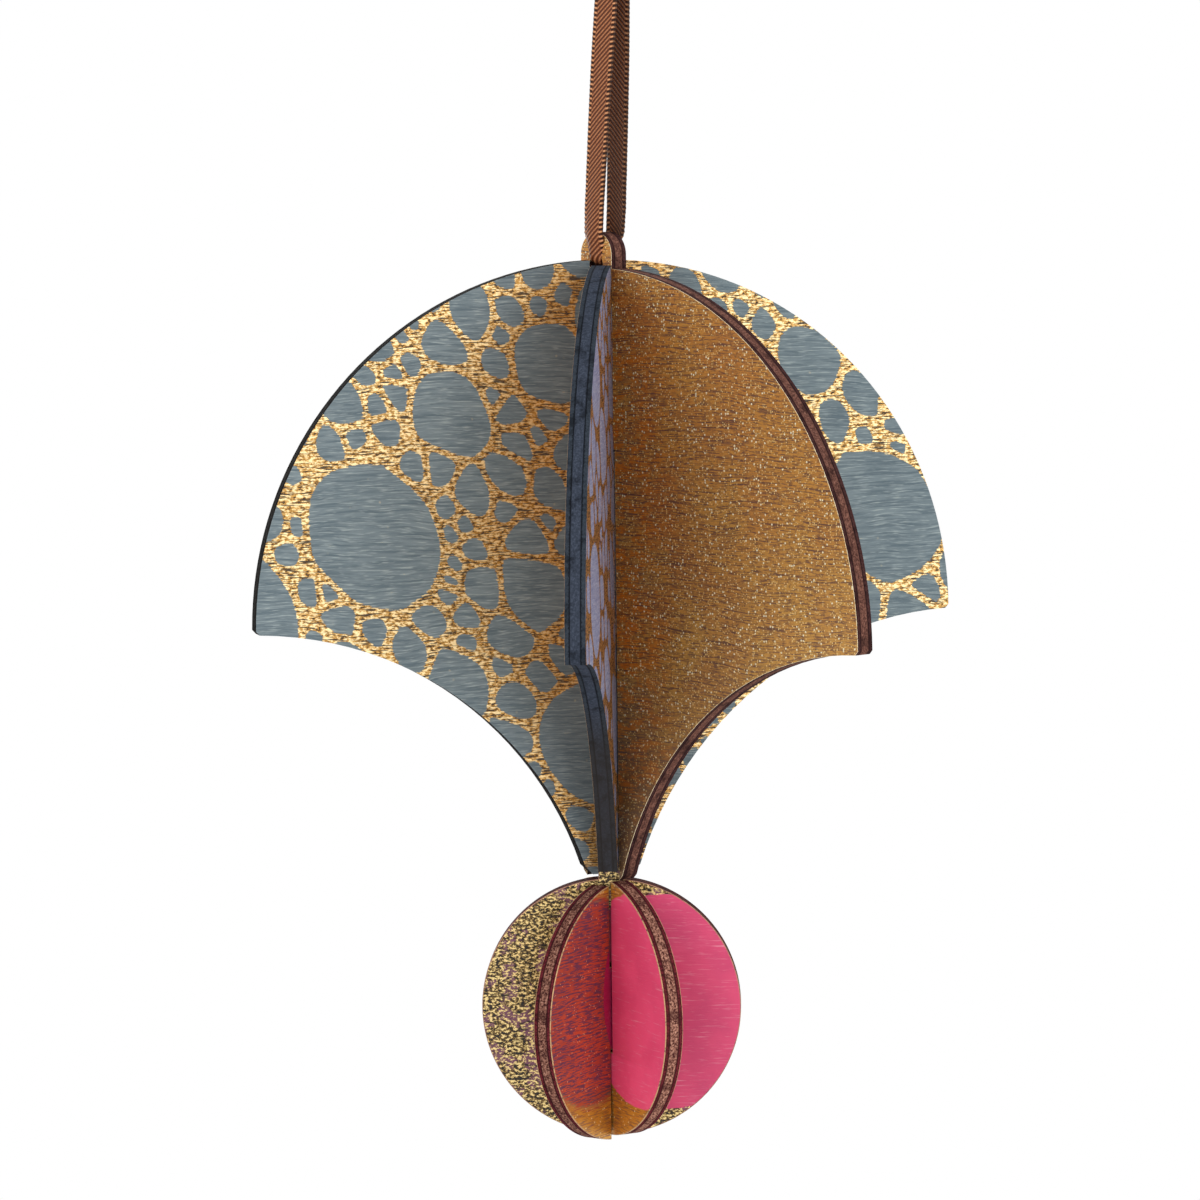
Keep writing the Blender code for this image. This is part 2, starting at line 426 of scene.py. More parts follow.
@dataclass(frozen=True)
class SheetFinish:
    """A finish for one kind of surface on a sheet."""

    name: str

    def board(self, bearing: float, level: float) -> bpy.types.Material:
        """Builds the material for a sheet.

        Args:
            bearing: the sheet's bearing.
            level: the height of its centre.

        Returns:
            The material.
        """
        made = Paint(self.name)
        self.paint(made, made.spot(bearing, level))
        return made.owner

    def paint(self, made: Paint, spot: Spot) -> None:
        """Lays the finish on, as each kind does in its own way."""
        raise NotImplementedError


@dataclass(frozen=True)
class PebblePrint(SheetFinish):
    """Stained pebbles with veins of thin gold leaf between them, both broken by fine cross grain, and both
    darkened near the axis by painted shade.
    """

    stain: str = "7c8a8f"
    dark: str = "5c6c74"
    pale: str = "aeb9b8"
    leaf: str = "b98a42"
    bright: str = "f8dfa8"
    speck_and_shade: str = "2b2524"
    near_axis_shade: str = "a8742c"

    def paint(self, made: Paint, spot: Spot) -> None:
        """Stains the pebbles and gilds the veins, by the share of leaf that the mesh keeps, and paints shade
        on both near the axis, where the sheets meet.

        Args:
            made: the material under construction.
            spot: place on the sheet.
        """
        grain = made.grain(spot, 6.0, 0.36)
        fine = made.grain(spot, 2.2, 0.16, 2.0)
        crumb = made.noise(made.point(made.times(spot.across, 0.55), spot.height), 3.0, 3.0, 0.65)
        # Painted shade where the sheets meet at the axis: the stone darkens towards near-black and the leaf
        # turns a deeper gold.
        near_axis_shade = made.step(made.math("ABSOLUTE", spot.across), 17.0, 3.0)
        stone = made.coats(
            self.dark,
            (made.step(grain, 0.34, 0.62), self.stain),
            (made.step(made.noise(spot.flat, 0.13, 2.0), 0.35, 0.70, 0.0, 0.35), self.dark),
            (made.step(fine, 0.50, 0.70, 0.0, 0.62), self.pale),
            (made.sparks(spot, 0.42, 0.006), self.bright),
            (made.times(near_axis_shade, 0.42), self.speck_and_shade),
        )
        # The grain is lowered near the axis, so more dark specks show there as painted shade.
        thin = made.math("MULTIPLY_ADD", near_axis_shade, -0.03, fine)
        worn = made.math("MAXIMUM", made.step(thin, 0.46, 0.41), made.step(crumb, 0.43, 0.38))
        gold = made.coats(
            self.leaf,
            (made.step(crumb, 0.46, 0.57), self.bright),
            (made.times(near_axis_shade, 0.55), self.near_axis_shade),
            (made.times(worn, 0.92), self.speck_and_shade),
        )
        gilt = made.step(made.fray(made.fray(made.attribute("leaf"), fine, 1.6), crumb, 0.8), 0.40, 0.60)
        metal = made.times(gilt, made.step(worn, 0.0, 1.0, 0.55, 0.05))
        made.surface(
            Base_Color=made.blend(gilt, stone, gold),
            Metallic=metal,
            Roughness=made.step(metal, 0.0, 0.55, 0.62, 0.40),
            Specular_IOR_Level=0.35,
        )
        made.relief(made.math("MULTIPLY_ADD", crumb, gilt, fine), 0.06 * MM, 0.8)


@dataclass(frozen=True)
class BronzePrint(SheetFinish):
    """Bronze and gold foil rubbed over purple-brown grain, with flakes whose sparkle is painted in as pale
    colour, and painted reflected light near the axis.
    """

    deep: str = "7a5540"
    low: str = "5b4636"
    bronze: str = "c58648"
    gold: str = "dba552"
    ember: str = "e8861f"
    grain: str = "4a3035"
    glint: str = "fbd78e"
    flake: str = "fff3cc"

    def paint(self, made: Paint, spot: Spot) -> None:
        """Rubs the foil on: orange patches of painted reflected light near the axis, dull at the foot, and
        more painted sparkle above it.

        Args:
            made: the material under construction.
            spot: place on the sheet.
        """
        cloud = made.noise(spot.flat, 0.11, 4.0, 0.6)
        grain = made.grain(spot, 8.0, 0.20)
        fine = made.grain(spot, 1.6, 0.15, 2.0)
        crumb = made.noise(made.point(made.times(spot.across, 0.7), spot.height), 2.3, 3.0, 0.7)
        patch = made.noise(made.point(spot.across, made.times(spot.height, 2.2)), 0.30, 4.0, 0.75)
        reach = made.math("ABSOLUTE", spot.across)
        # Painted light near the axis: orange patches stand in for light that the sheets reflect onto one
        # another.
        reflected_light_near_axis = made.times(
            made.step(reach, 15.0, 2.0), made.step(patch, 0.47, 0.55), made.step(grain, 0.38, 0.50),
            made.step(spot.height, 37.0, 28.0), made.step(spot.height, -26.0, -12.0),
        )
        streak = made.math("MAXIMUM", made.step(grain, 0.46, 0.38), made.step(fine, 0.44, 0.37))
        # Painted highlights: the glints and flakes are real flakes of the foil whose sparkle is painted into
        # their pale colour; they and the gold dust thin out towards the foot.
        lively = made.step(spot.height, -26.0, 2.0, 0.35, 1.0)
        dust, painted_glints, flakes = (made.times(made.sparks(spot, size, share), lively)
                                for size, share in ((0.17, 0.16), (0.23, 0.20), (0.33, 0.085)))
        colour = made.coats(
            self.bronze,
            (made.step(cloud, 0.36, 0.66), self.gold),
            (made.step(reach, 4.0, 30.0, 0.0, 0.45), self.gold),
            (made.step(spot.height, 0.0, 26.0, 0.0, 0.25), self.ember),
            (made.times(reflected_light_near_axis, 0.9), self.ember),
            (made.times(streak, 0.88), self.grain),
            (made.step(fine, 0.55, 0.42, 0.0, 0.35), self.deep),
            (made.step(crumb, 0.48, 0.38, 0.0, 0.6), self.deep),
            (made.step(crumb, 0.57, 0.66, 0.0, 0.5), self.gold),
            (made.step(spot.height, 2.0, -24.0, 0.0, 0.9), self.low),
            (made.times(reflected_light_near_axis, 0.45), self.ember),
            (made.times(dust, 0.75), self.gold),
            (painted_glints, self.glint),
            (flakes, self.flake),
        )
        made.surface(
            Base_Color=colour,
            Metallic=made.times(made.step(streak, 0.0, 1.0, 0.42, 0.12),
                                made.step(flakes, 0.0, 1.0, 1.0, 0.2)),
            Roughness=made.step(flakes, 0.0, 1.0, 0.46, 0.22),
        )
        made.relief(made.math("MULTIPLY_ADD", flakes, 0.6, fine), 0.05 * MM, 0.7)


@dataclass(frozen=True)
class CirclePrint(SheetFinish):
    """A ball disc's face: one stained circle on gold, with pale or purple streaks in the stain."""

    ground: Ground
    stain: str
    stain_deep: str
    streak: str
    centre: float
    radius: float = 12.0
    streak_share: float = 0.5
    metal: float = 0.0
    soft: float = 0.08
    lift: float = 0.0
    beside: str = ""
    beside_centre: float = 0.0
    beside_soft: float = 0.08
    sway: float = 0.8
    copper: str = "e0a078"
    ochre: tuple = ("8c5a3a", "d69a3e", "f0d79c")
    glitter: tuple = ("080502", "7a5c2a", "ffe19a")
    bald: str = "7d4d60"
    row: str = "17120e"

    def paint(self, made: Paint, spot: Spot) -> None:
        """Gilds the disc and lays the circle on it.

        Args:
            made: the material under construction.
            spot: place on the disc.
        """
        fine = made.grain(spot, 1.9, 0.18, 2.0, self.sway)
        inside = self.inside(made, spot, fine, self.centre, self.soft)
        stain, shine = self.stained(made, spot, fine)
        leaf, glint = self.gilded(made, spot, fine)
        colour = made.blend(inside, leaf, stain)
        # A sliver of another rose circle near the axis, in a dark magenta that paints the shade it lies in.
        if self.beside:
            overlap = self.inside(made, spot, fine, self.beside_centre, self.beside_soft)
            colour = made.blend(overlap, colour, self.beside)
        made.surface(
            Base_Color=colour,
            Metallic=made.between(inside, glint, shine),
            Roughness=made.step(inside, 0.0, 1.0, 0.34, 0.5),
        )
        made.relief(fine, 0.06 * MM, 0.7)

    def inside(self, made: Paint, spot: Spot, fine: Socket, centre: float, soft: float) -> Socket:
        """Where a circle lies on the disc.

        Args:
            made: the material under construction.
            spot: place on the disc.
            fine: its finest grain, which frays the circle.
            centre: how far across the circle's middle is.
            soft: how far its border is blurred.

        Returns:
            A socket that is 1 in the circle.
        """
        away = made.math("SUBTRACT", spot.across, centre)
        rise = made.math("SUBTRACT", spot.height, self.lift)
        reach = made.math("SQRT", made.math("MULTIPLY_ADD", away, away, made.times(rise, rise)))
        return made.step(made.fray(reach, fine, 0.5 + 2.0 * soft), self.radius + soft, self.radius - soft)

    def stained(self, made: Paint, spot: Spot, fine: Socket) -> tuple[Socket, Socket]:
        """Stains the circle.

        Args:
            made: the material under construction.
            spot: place on the disc.
            fine: its finest grain.

        Returns:
            Sockets for the colour and for how metallic it is.
        """
        lines = made.step(made.grain(spot, 5.5, 0.30, 4.0, self.sway), 0.58, 0.72, 0.0, self.streak_share)
        if self.metal:
            fibres = made.step(fine, 0.48, 0.54, 0.0, self.streak_share)
        else:
            fibres = made.step(fine, 0.58, 0.76, 0.0, 0.5 * self.streak_share)
        colour = made.coats(
            self.stain_deep,
            (made.step(made.noise(spot.flat, 0.16), 0.35, 0.65), self.stain),
            (made.math("MAXIMUM", lines, fibres), self.streak),
        )
        if self.metal:
            colour = made.blend(made.sparks(spot, 0.20, 0.04), colour, self.copper)
        return colour, made.times(made.step(fine, 0.55, 0.40), self.metal)

    def gilded(self, made: Paint, spot: Spot, fine: Socket) -> tuple[Socket, Socket]:
        """Lays the gold ground, as ochre foil or as glitter with bald patches and dark rows.

        Args:
            made: the material under construction.
            spot: place on the disc.
            fine: its finest grain.

        Returns:
            Sockets for the colour and for how metallic it is.
        """
        if self.ground is Ground.OCHRE:
            low, high, flake = self.ochre
            leaf = made.coats(low, (made.step(fine, 0.34, 0.58), high), (made.sparks(spot, 0.3, 0.10), flake))
            return leaf, made.step(fine, 0.34, 0.5, 0.1, 0.6)
        gap, low, high = self.glitter
        crumbs = made.noise(made.point(made.times(spot.across, 0.62), spot.height), 3.5, 3.0, 0.72)
        patch = made.noise(spot.flat, 0.30, 3.0, 0.6)
        rows = made.grain(spot, 2.2, 0.5, 4.0, self.sway)
        leaf = made.coats(
            gap,
            (made.step(crumbs, 0.45, 0.48), low),
            (made.step(crumbs, 0.525, 0.55), high),
            (made.times(made.step(patch, 0.52, 0.58), made.step(crumbs, 0.58, 0.48)), self.bald),
            (made.step(rows, 0.43, 0.35, 0.0, 0.92), self.row),
        )
        return leaf, made.step(crumbs, 0.42, 0.56, 0.1, 0.6)


@dataclass(frozen=True)
class PlyEdge(SheetFinish):
    """A laser-sawn ply edge: two dark outer plies, a paler core and the glue lines between them."""

    outer: str
    core: str
    pale: str
    glue: str
    speckle: float = 1.0
    foot: str = ""
    glue_depth: float = 0.55

    def paint(self, made: Paint, spot: Spot) -> None:
        """Lays the plies side by side and scorches them.

        Args:
            made: the material under construction.
            spot: place on the sheet.
        """
        solid = made.point(spot.across, spot.depth, spot.height)
        scorch = made.noise(solid, 0.5, 4.0, 0.65)
        pore = made.noise(solid, 4.2, 3.0, 0.7)
        wander = made.fray(made.math("ABSOLUTE", spot.depth), pore, 0.30)
        core = made.step(wander, self.glue_depth + 0.05, self.glue_depth - 0.05)
        near = made.math("ABSOLUTE", made.math("SUBTRACT", wander, self.glue_depth + 0.04))
        wood = made.coats(
            self.core,
            (made.step(pore, 0.64, 0.36, 0.0, self.speckle), self.glue),
            (made.step(pore, 0.56, 0.70, 0.0, 0.5), self.pale),
        )
        colour = made.coats(
            self.outer,
            (made.step(pore, 0.60, 0.34, 0.0, self.speckle), self.glue),
            (core, wood),
            (made.step(near, 0.13, 0.03, 0.0, 0.9), self.glue),
            (made.step(scorch, 0.52, 0.34, 0.0, 0.7), self.glue),
        )
        if self.foot:
            colour = made.blend(made.step(spot.height, -5.0, -14.0, 0.0, 0.75), colour, self.foot)
        made.surface(
            Base_Color=colour,
            Roughness=made.step(pore, 0.3, 0.7, 0.68, 0.86),
            Specular_IOR_Level=0.02,
        )
        made.relief(made.math("MULTIPLY_ADD", core, 0.4, pore), 0.08 * MM, 0.9)


@dataclass(frozen=True)
class WornRim(SheetFinish):
    """The fine bright line where the print is rubbed off a sheet's rim."""

    rubbed: str = "c9a071"
    print_left: str = "5d3f36"

    def paint(self, made: Paint, spot: Spot) -> None:
        """Rubs the print off here and there.

        Args:
            made: the material under construction.
            spot: place on the sheet.
        """
        wear = made.noise(made.point(spot.across, spot.depth, spot.height), 2.4, 3.0, 0.6)
        share = made.step(wear, 0.32, 0.50)
        made.surface(
            Base_Color=made.blend(share, self.print_left, self.rubbed),
            Metallic=made.times(share, 0.3),
            Roughness=0.5,
        )


@dataclass(frozen=True)
class SatinWeave:
    """Brown satin with a steep twill and beaded selvedges, with painted copper highlights on the thread
    crests and beads and painted shade on its reverse side.
    """

    name: str
    warp: str = "8a4a2b"
    dip: str = "542b18"
    shade: str = "241008"
    glint: str = "e3a473"
    half_width: float = 1.5
    bead: float = 0.52
    twill: float = 0.56
    reverse_shade: float = 0.45

    def board(self) -> bpy.types.Material:
        """Builds the ribbon's material, which reads its weave map.

        Returns:
            The material.
        """
        made = Paint(self.name)
        across, run = made.ribbon_place()
        slope = made.math("ABSOLUTE", across)
        thread = made.wave(made.times(made.math("ADD", across, run), 2 * math.pi / self.twill))
        loop = made.wave(made.math("MULTIPLY_ADD", slope, 2.2, made.times(run, 2 * math.pi / self.bead)))
        fibre = made.noise(made.point(made.times(across, 6.0), made.times(run, 1.4)), 2.2)
        selvedge = made.step(slope, 0.66 * self.half_width, 0.72 * self.half_width)
        hem = made.step(slope, 0.90 * self.half_width, 0.95 * self.half_width)
        height = made.between(selvedge, thread, loop)
        # Painted highlights: raised twill crests and selvedge beads get a copper colour that stands in for
        # the light they catch.
        lift = made.times(made.step(height, 0.60, 0.95), made.step(fibre, 0.38, 0.58, 0.15, 0.62))
        lift = made.math("MAXIMUM", lift, made.times(selvedge, made.step(loop, 0.62, 0.88)))
        colour = made.coats(
            self.dip,
            (selvedge, self.shade),
            (made.step(height, 0.14, 0.62), self.warp),
            (made.times(lift, 0.9), self.glint),
            (made.times(hem, 0.7), self.shade),
            # Painted shade: the reverse side, seen on the far strand, is darkened as if in shadow.
            (made.times(made.attribute("reverse"), self.reverse_shade), self.shade),
        )
        made.surface(
            Base_Color=colour,
            Roughness=made.step(fibre, 0.3, 0.7, 0.34, 0.50),
            Specular_IOR_Level=0.18,
        )
        made.relief(height, 0.06 * MM, 0.9)
        return made.owner


@dataclass(frozen=True)
class PebbleBed:
    """Rounded pebbles packed from large to small, with narrow veins between them; in millimetres."""

    seed: int
    reach: float = 44.0
    sizes: tuple = ((7.4, 5.8, 14), (4.2, 2.9, 34), (2.3, 1.5, 90), (1.2, 0.8, 150), (0.7, 0.5, 120))
    throws: int = 1200
    throws_each: int = 20
    gap: float = 0.25
    vein: tuple = (0.26, 0.42)
    fringe: float = 0.17
    spill: float = 1.7
    sides: int = 9
    unevenness: float = 0.8
    corner_cut: float = 0.26
    large: float = 2.4
    cuts_large: int = 3
    cuts_small: int = 2
    near_times: float = 2.0
    near_more: float = 4.0
    stretch: float = 1.28
    slant: float = math.radians(52.0)

    def stones(self) -> list[tuple[Vector, float]]:
        """Throws pebbles on the bed, the large ones first, where each finds room.

        Returns:
            Each pebble's middle and radius.
        """
        dice = random.Random(self.seed)
        placed: list[tuple[Vector, float]] = []
        for high, low, wanted in self.sizes:
            found = 0
            for _ in range(max(self.throws_each * wanted, self.throws)):
                radius = dice.uniform(low, high)
                spot = Vector((dice.uniform(-self.reach, self.reach), dice.uniform(-self.reach, self.reach)))
                if all((spot - other).length > radius + size + self.gap for other, size in placed):
                    placed.append((spot, radius))
                    found += 1
                if found == wanted:
                    break
        return placed

    def outlines(self) -> list[list[Vector]]:
        """Swells every pebble until it meets its neighbours, less a vein, and rounds it off.

        Returns:
            For each pebble in turn, the lines outside and inside its fringe, counter-clockwise.
        """
        stones = self.stones()
        dice = random.Random(self.seed + 1)
        back, ahead = (Matrix.Rotation(turn, 2) for turn in (-self.slant, self.slant))
        lay = ahead @ Matrix(((self.stretch, 0.0), (0.0, 1.0))) @ back
        found = []
        for middle, radius in stones:
            vein = dice.uniform(*self.vein)
            angles = sorted(2 * math.pi * (k + self.unevenness * dice.random()) / self.sides
                            for k in range(self.sides))
            near = [(other - middle, size) for other, size in stones
                    if 0.0 < (other - middle).length < (radius + size) * self.near_times + self.near_more]
            cuts = self.cuts_large if radius > self.large else self.cuts_small
            pair = []
            for off in (-self.fringe, self.fringe):
                shape = [Vector((math.cos(a), math.sin(a))) * (radius * self.spill - off) for a in angles]
                for apart, size in near:
                    limit = (apart.length_squared + radius ** 2 - size ** 2) / 2 - (vein + off) * apart.length
                    shape = self.trimmed(shape, apart, limit)
                pair.append([lay @ (middle + p) for p in self.rounded(shape, cuts)])
            if min(len(line) for line in pair) > 2:
                found += pair
        return found

    @staticmethod
    def trimmed(shape: Sequence[Vector], apart: Vector, limit: float) -> list[Vector]:
        """Cuts off what lies past a straight line.

        Args:
            shape: the outline so far.
            apart: the direction out over the line.
            limit: how far out the line lies, times the direction's length.

        Returns:
            What is left.
        """
        left = []
        for i, here in enumerate(shape):
            there = shape[(i + 1) % len(shape)]
            a, b = here.dot(apart) - limit, there.dot(apart) - limit
            if a <= 0:
                left.append(here)
            if (a < 0 < b) or (b < 0 < a):
                left.append(here.lerp(there, a / (a - b)))
        return left

    def rounded(self, shape: Sequence[Vector], times: int) -> Sequence[Vector]:
        """Cuts every corner off, again and again.

        Args:
            shape: the outline.
            times: how often it is cut.

        Returns:
            The rounder outline.
        """
        for _ in range(times):
            pairs = zip(shape, [*shape[1:], *shape[:1]])
            shape = [here.lerp(there, share) for here, there in pairs
                     for share in (self.corner_cut, 1 - self.corner_cut)]
        return shape


@dataclass
class PhotoCamera:
    """The camera at the photograph's viewing angle."""

    place: Vector = field(default_factory=lambda: Vector((-2.308, -477.57, -24.456)) * MM)
    look_down: float = math.radians(5.595)
    roll: float = math.radians(0.652)
    lens: float = 129.45
    sensor: float = 36.0
    clip: tuple = (0.01, 50.0)

    def build(self) -> None:
        """Makes the camera and hands it to the scene."""
        data = bpy.data.cameras.new("photo_camera")
        data.sensor_width = self.sensor
        data.lens = self.lens
        data.clip_start, data.clip_end = self.clip
        down, tilt = self.look_down, self.roll
        right = Vector((math.cos(tilt), -math.sin(down) * math.sin(tilt), -math.cos(down) * math.sin(tilt)))
        ahead = Vector((0.0, math.cos(down), -math.sin(down)))
        up = Vector((math.sin(tilt), math.sin(down) * math.cos(tilt), math.cos(down) * math.cos(tilt)))
        turn = Matrix((right, up, -ahead)).transposed().to_4x4()
        camera = bpy.data.objects.new("photo_camera", data)
        camera.matrix_world = Matrix.Translation(self.place) @ turn
        bpy.context.scene.collection.objects.link(camera)
        bpy.context.scene.camera = camera


def skin(made: bmesh.types.BMesh, rings: Sequence[Sequence[bmesh.types.BMVert]],
         marks: Sequence[Sequence[tuple[float, float]]]) -> None:
    """Joins rings of points with smooth faces and maps the weave onto them.

    Args:
        made: the mesh under construction, with a weave map.
        rings: its rings, in order.
        marks: the weave map of every ring; one row more than there are rings joins the last to the first.
    """
    weave = made.loops.layers.uv["weave"]
    for i in range(len(marks) - 1):
        low, high = rings[i], rings[(i + 1) % len(rings)]
        for j in range(len(low)):
            k = (j + 1) % len(low)
            face = made.faces.new((low[j], low[k], high[k], high[j]))
            face.smooth = True
            for loop, mark in zip(face.loops, (marks[i][j], marks[i][k], marks[i + 1][k], marks[i + 1][j])):
                loop[weave].uv = mark


def close_up(made: bmesh.types.BMesh, name: str) -> bpy.types.Mesh:
    """Turns a closed shape into a mesh that faces outward.

    Args:
        made: the mesh under construction, which is freed.
        name: the new mesh's name.

    Returns:
        The mesh.
    """
    bmesh.ops.recalc_face_normals(made, faces=made.faces)
    mesh = bpy.data.meshes.new(name)
    made.to_mesh(mesh)
    made.free()
    return mesh


@dataclass
class BandSweep:
    """A flat woven band swept along a line of stations, with beaded selvedges and a cupped section."""

    half_width: float = 1.5 * MM
    half_thick: float = 0.13 * MM
    columns: int = 17
    bead_pitch: float = 0.52 * MM
    bead_rise: float = 0.07 * MM
    bead_reach: float = 0.008 * MM
    bead_share: float = 0.30
    bead_swell: float = 0.45
    hem_share: float = 0.3
    hem_thinned: float = 0.45
    hump_share: float = 0.8
    least_curl: float = 1e-3

    def section(self, run: float, curl: float) -> list[tuple[float, float, float]]:
        """One cross-section, front face first and then the back.

        Args:
            run: distance along the band.
            curl: half the angle that the band is cupped through.

        Returns:
            For each point, its place across the band, towards the crown, and across the flat weave.
        """
        beat = math.cos(2 * math.pi * run / self.bead_pitch)
        curl = max(curl, self.least_curl)
        radius = self.half_width / curl
        rise = radius * (1 - math.sin(curl) / curl)
        reach = self.half_width + self.bead_reach * beat
        points = []
        for face in (1, -1):
            for i in range(self.columns):
                share = (2 * i / (self.columns - 1) - 1) * face
                edge = max(0.0, (abs(share) - (1 - self.bead_share)) / self.bead_share)
                hem = max(0.0, edge - (1 - self.hem_share)) / self.hem_share
                hump = math.sin(math.pi * min(1.0, edge * self.hump_share))
                thick = self.half_thick * (1 - self.hem_thinned * hem)
                thick += self.bead_rise * hump * (1 - self.bead_swell + self.bead_swell * beat)
                angle = share * reach / radius
                level = radius + face * thick
                crown = level * math.cos(angle) - radius + rise
                points.append((level * math.sin(angle), crown, share * reach))
        return points

    def mesh(self, name: str, stations: Sequence[Station]) -> bpy.types.Mesh:
        """Sweeps the section along the stations.

        Args:
            name: the mesh's name.
            stations: for each ring its centre, its direction across, its crown direction and its curl.

        Returns:
            A closed mesh with a weave map in millimetres, which knows its reverse side.
        """
        made = bmesh.new()
        weave = made.loops.layers.uv.new("weave")
        reverse = made.verts.layers.float.new("reverse")
        rings, marks, run = [], [], 0.0
        for i, (centre, across, crown, curl) in enumerate(stations):
            run += (centre - stations[i - 1][0]).length if i else 0.0
            shape = self.section(run, curl)
            rings.append([made.verts.new(centre + across * x + crown * z) for x, z, _ in shape])
            for vert in rings[-1][self.columns:]:
                vert[reverse] = 1.0
            marks.append([(flat / MM, run / MM) for _, _, flat in shape])
        skin(made, rings, marks)
        for end in (0, -1):
            for loop, mark in zip(made.faces.new(rings[end]).loops, marks[end]):
                loop[weave].uv = mark
        return close_up(made, name)


def smooth_line(points: Sequence[Vector], step: float) -> list[Vector]:
    """Runs a smooth curve through points and spaces it evenly.

    Args:
        points: the route.
        step: the wanted spacing.

    Returns:
        Points along the route, its ends included.
    """
    dense = []
    for i in range(len(points) - 1):
        a, b = points[max(i - 1, 0)], points[i]
        c, d = points[i + 1], points[min(i + 2, len(points) - 1)]
        for k in range(POINTS_PER_SPAN):
            t = k / POINTS_PER_SPAN
            dense.append(0.5 * (2 * b + (c - a) * t + (2 * a - 5 * b + 4 * c - d) * t ** 2
                                + (3 * b - 3 * c + d - a) * t ** 3))
    dense.append(points[-1].copy())
    total = sum((q - p).length for p, q in zip(dense, dense[1:]))
    count = max(2, round(total / step))
    spaced, gone, at = [dense[0]], 0.0, 0
    for n in range(1, count):
        wanted = total * n / count
        while gone + (dense[at + 1] - dense[at]).length < wanted:
            gone += (dense[at + 1] - dense[at]).length
            at += 1
        leg = dense[at + 1] - dense[at]
        spaced.append(dense[at] + leg * ((wanted - gone) / leg.length))
    spaced.append(dense[-1])
    return spaced


